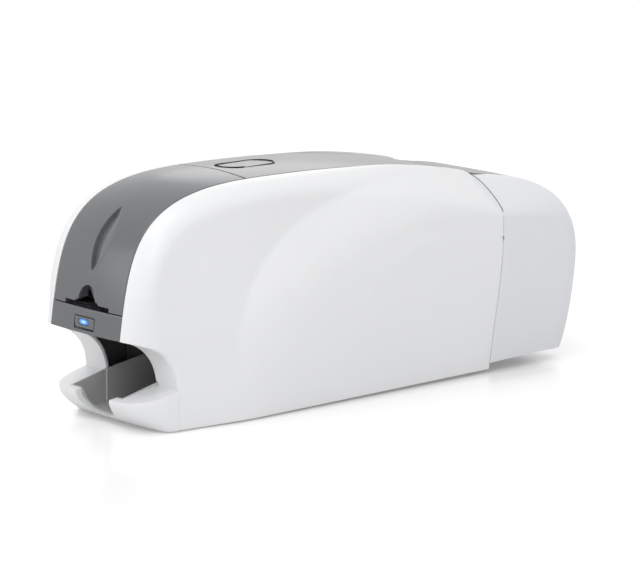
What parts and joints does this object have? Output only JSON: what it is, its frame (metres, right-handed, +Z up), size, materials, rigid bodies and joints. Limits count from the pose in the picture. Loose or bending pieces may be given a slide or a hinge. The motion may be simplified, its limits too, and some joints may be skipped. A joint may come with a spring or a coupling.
{
  "type": "id card printer",
  "caption": "Desktop plastic card printer with a rounded white housing, grey hinged covers, a front output tray and a rear card flipper.",
  "frame": {"origin": "centre of the footprint, at the underside of the rubber feet", "axes": "+X towards the side on the right hand of a person facing the front, +Y from the front to the rear, +Z up"},
  "size_m": [0.173, 0.48, 0.195],
  "materials": {
    "white_shell": "satin white moulding",
    "rear_shell": "satin cool white moulding",
    "grey_shell": "fine textured grey moulding",
    "dark_plastic": "plain dark moulding",
    "tray_grey": "plain grey moulding",
    "steel": "plated steel",
    "head_metal": "machined",
    "gear_metal": "machined",
    "roller_rubber": "matt rubber",
    "board": "coated board",
    "blue_lens": "lit lens",
    "ribbon": "thin film",
    "drum_grey": "plain moulding"
  },
  "bodies": {
    "chassis": {"side_panel_right": "white_shell", "side_panel_left": "white_shell", "base_pan": "dark_plastic", "rubber_feet": "roller_rubber", "front_bezel": "grey_shell", "front_frame": "white_shell", "output_tray": "white_shell", "tray_liner": "tray_grey", "exit_chute": "dark_plastic", "hopper_floor": "dark_plastic", "hopper_walls": "dark_plastic", "cross_rods": "steel", "mech_plates": "steel", "lower_guide": "dark_plastic", "drive_motor": "dark_plastic", "drive_belt": "roller_rubber", "ribbon_film": "ribbon", "cassette_rails": "tray_grey", "rear_housing": "rear_shell", "rear_band": "grey_shell", "port_panel": "dark_plastic", "power_inlet": "dark_plastic", "data_sockets": "steel", "switch_frame": "dark_plastic", "rear_tray": "dark_plastic", "flip_plates": "steel", "main_board": "board"},
    "hopper_lid": {"hopper_cover": "grey_shell", "cover_inserts": "dark_plastic", "hopper_frame": "dark_plastic"},
    "top_lid": {"top_cover": "grey_shell", "top_frame": "dark_plastic", "print_head": "head_metal", "head_bracket": "dark_plastic"},
    "release_button": {"release_button": "grey_shell"},
    "latch": {"latch_bar": "steel"},
    "status_button": {"led_button": "grey_shell", "led_window": "blue_lens"},
    "card_weight": {"card_weight": "grey_shell"},
    "platen": {"platen_rubber": "roller_rubber", "platen_shaft": "steel"},
    "pinion": {"motor_pinion": "gear_metal"},
    "pick": {"pick_roller": "roller_rubber"},
    "clean": {"clean_roller": "roller_rubber"},
    "feed_a": {"feed_roller_a": "roller_rubber"},
    "feed_b": {"feed_roller_b": "roller_rubber"},
    "feed_c": {"feed_roller_c": "roller_rubber"},
    "feed_d": {"feed_roller_d": "roller_rubber"},
    "press_a": {"pinch_a": "roller_rubber"},
    "press_b": {"pinch_b": "roller_rubber"},
    "press_c": {"pinch_c": "roller_rubber"},
    "press_d": {"pinch_d": "roller_rubber"},
    "supply": {"supply_spool": "ribbon"},
    "takeup": {"takeup_spool": "ribbon"},
    "flipper": {"flip_drum": "drum_grey"},
    "flip_a": {"flip_roller_a": "roller_rubber"},
    "flip_b": {"flip_roller_b": "roller_rubber"},
    "flip_c": {"flip_roller_c": "roller_rubber"},
    "flip_d": {"flip_roller_d": "roller_rubber"},
    "rocker": {"power_switch": "dark_plastic"}
  },
  "joints": [
    {"name": "hopper_lid_hinge", "type": "hinge", "parent": "chassis", "child": "hopper_lid", "pos_m": [0, -0.12, 0.183], "axis": [-1, 0, 0], "range_deg": [0, 70]},
    {"name": "top_lid_hinge", "type": "hinge", "parent": "chassis", "child": "top_lid", "pos_m": [0, 0.124, 0.158], "axis": [-1, 0, 0], "range_deg": [0, 60]},
    {"name": "release_slide", "type": "slide", "parent": "top_lid", "child": "release_button", "axis": [0, 0, -1], "range_m": [0, 0.0025], "stiffness_N_per_m": 500, "springref_m": -0.001},
    {"name": "latch_hinge", "type": "hinge", "parent": "top_lid", "child": "latch", "pos_m": [0, -0.09, 0.1745], "axis": [-1, 0, 0], "range_deg": [0, 12.5], "stiffness_Nm_per_rad": 0.05, "springref_deg": -5.73},
    {"name": "status_slide", "type": "slide", "parent": "chassis", "child": "status_button", "axis": [0, 1, 0], "range_m": [0, 0.0012], "stiffness_N_per_m": 400, "springref_m": -0.001},
    {"name": "weight_slide", "type": "slide", "parent": "chassis", "child": "card_weight", "axis": [0, 0, 1], "range_m": [0, 0.045]},
    {"name": "platen_spin", "type": "hinge", "parent": "chassis", "child": "platen", "pos_m": [0, -0.05, 0.0908], "axis": [1, 0, 0], "continuous": true},
    {"name": "pinion_spin", "type": "hinge", "parent": "chassis", "child": "pinion", "pos_m": [0, -0.05, 0.0668], "axis": [1, 0, 0], "continuous": true},
    {"name": "pick_spin", "type": "hinge", "parent": "chassis", "child": "pick", "pos_m": [0, -0.152, 0.0908], "axis": [1, 0, 0], "continuous": true},
    {"name": "clean_spin", "type": "hinge", "parent": "chassis", "child": "clean", "pos_m": [0, -0.114, 0.0908], "axis": [1, 0, 0], "continuous": true},
    {"name": "feed_a_spin", "type": "hinge", "parent": "chassis", "child": "feed_a", "pos_m": [0, -0.088, 0.0908], "axis": [1, 0, 0], "continuous": true},
    {"name": "feed_b_spin", "type": "hinge", "parent": "chassis", "child": "feed_b", "pos_m": [0, -0.012, 0.0908], "axis": [1, 0, 0], "continuous": true},
    {"name": "feed_c_spin", "type": "hinge", "parent": "chassis", "child": "feed_c", "pos_m": [0, 0.05, 0.0908], "axis": [1, 0, 0], "continuous": true},
    {"name": "feed_d_spin", "type": "hinge", "parent": "chassis", "child": "feed_d", "pos_m": [0, 0.11, 0.0908], "axis": [1, 0, 0], "continuous": true},
    {"name": "press_a_spin", "type": "hinge", "parent": "chassis", "child": "press_a", "pos_m": [0, -0.088, 0.1033], "axis": [1, 0, 0], "continuous": true},
    {"name": "press_b_spin", "type": "hinge", "parent": "chassis", "child": "press_b", "pos_m": [0, -0.012, 0.1033], "axis": [1, 0, 0], "continuous": true},
    {"name": "press_c_spin", "type": "hinge", "parent": "chassis", "child": "press_c", "pos_m": [0, 0.05, 0.1033], "axis": [1, 0, 0], "continuous": true},
    {"name": "press_d_spin", "type": "hinge", "parent": "chassis", "child": "press_d", "pos_m": [0, 0.11, 0.1033], "axis": [1, 0, 0], "continuous": true},
    {"name": "supply_spin", "type": "hinge", "parent": "chassis", "child": "supply", "pos_m": [0, 0.016, 0.133], "axis": [1, 0, 0], "continuous": true},
    {"name": "takeup_spin", "type": "hinge", "parent": "chassis", "child": "takeup", "pos_m": [0, -0.097, 0.133], "axis": [1, 0, 0], "continuous": true},
    {"name": "flipper_spin", "type": "hinge", "parent": "chassis", "child": "flipper", "pos_m": [0, 0.188, 0.098], "axis": [1, 0, 0], "continuous": true},
    {"name": "flip_a_spin", "type": "hinge", "parent": "flipper", "child": "flip_a", "pos_m": [0, 0.164, 0.0927], "axis": [1, 0, 0], "continuous": true},
    {"name": "flip_b_spin", "type": "hinge", "parent": "flipper", "child": "flip_b", "pos_m": [0, 0.212, 0.0927], "axis": [1, 0, 0], "continuous": true},
    {"name": "flip_c_spin", "type": "hinge", "parent": "flipper", "child": "flip_c", "pos_m": [0, 0.164, 0.10406], "axis": [1, 0, 0], "continuous": true},
    {"name": "flip_d_spin", "type": "hinge", "parent": "flipper", "child": "flip_d", "pos_m": [0, 0.212, 0.10406], "axis": [1, 0, 0], "continuous": true},
    {"name": "rocker_hinge", "type": "hinge", "parent": "chassis", "child": "rocker", "pos_m": [-0.0325, 0.228, 0.037], "axis": [1, 0, 0], "range_deg": [0, 10]}
  ],
  "couplings": [
    {"joint": "latch_hinge", "follows": "release_slide", "rad_per_m": 85},
    {"joint": "pinion_spin", "follows": "platen_spin", "ratio": -4},
    {"joint": "pick_spin", "follows": "platen_spin", "ratio": 1},
    {"joint": "clean_spin", "follows": "platen_spin", "ratio": 1},
    {"joint": "feed_a_spin", "follows": "platen_spin", "ratio": 1},
    {"joint": "feed_b_spin", "follows": "platen_spin", "ratio": 1},
    {"joint": "feed_c_spin", "follows": "platen_spin", "ratio": 1},
    {"joint": "feed_d_spin", "follows": "platen_spin", "ratio": 1},
    {"joint": "press_a_spin", "follows": "platen_spin", "ratio": -1.4},
    {"joint": "press_b_spin", "follows": "platen_spin", "ratio": -1.4},
    {"joint": "press_c_spin", "follows": "platen_spin", "ratio": -1.4},
    {"joint": "press_d_spin", "follows": "platen_spin", "ratio": -1.4},
    {"joint": "flip_b_spin", "follows": "flip_a_spin", "ratio": 1},
    {"joint": "flip_c_spin", "follows": "flip_a_spin", "ratio": -1},
    {"joint": "flip_d_spin", "follows": "flip_a_spin", "ratio": -1}
  ]
}
